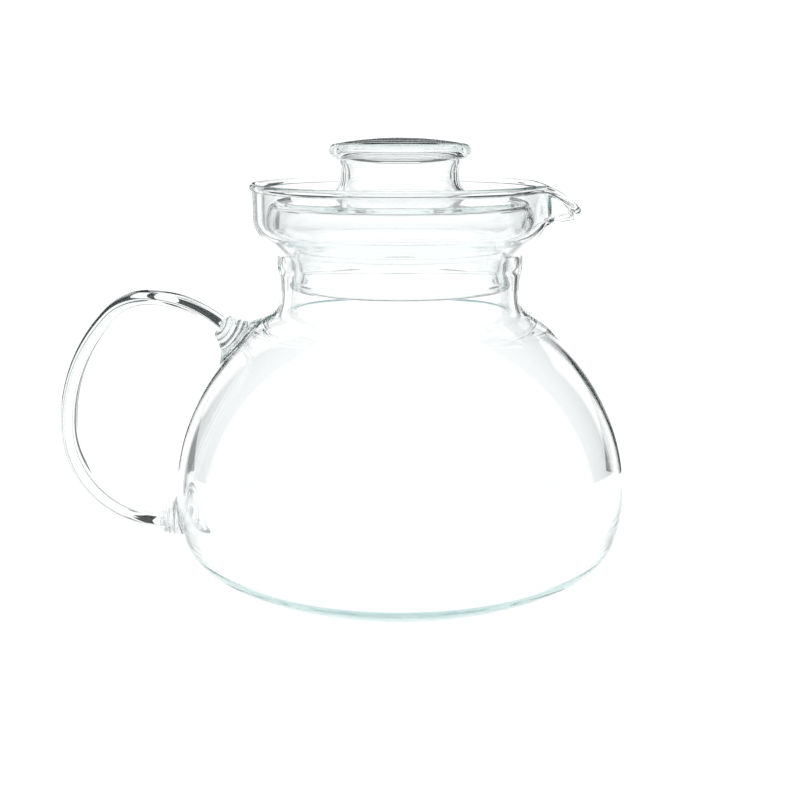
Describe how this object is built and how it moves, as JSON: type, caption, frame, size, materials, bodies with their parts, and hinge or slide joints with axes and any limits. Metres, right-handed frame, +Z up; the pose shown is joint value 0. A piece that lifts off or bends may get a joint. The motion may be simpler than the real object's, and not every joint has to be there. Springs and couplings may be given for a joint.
{
  "type": "glass teapot",
  "caption": "Clear glass teapot with a round bowl, wide collar with a pouring lip, looped glass rod handle and a loose lid with a hollow knob.",
  "frame": {"origin": "centre of the base's flat resting face, on the bowl's axis", "axes": "+Z up along the bowl's and the lid's common axis, +X towards the pouring lip, -X towards the handle, +Y across"},
  "size_m": [0.2007, 0.159, 0.1533],
  "materials": {
    "clear_glass": "polished",
    "handle_glass": "polished",
    "lid_glass": "polished"
  },
  "bodies": {
    "pot": {"vessel": "clear_glass", "handle_rod": "handle_glass", "handle_upper_weld": "handle_glass", "handle_lower_weld": "handle_glass"},
    "lid": {"lid": "lid_glass"}
  },
  "joints": [
    {"name": "lid_lift", "type": "slide", "parent": "pot", "child": "lid", "axis": [0, 0, 1], "range_m": [0, 0.06]}
  ]
}
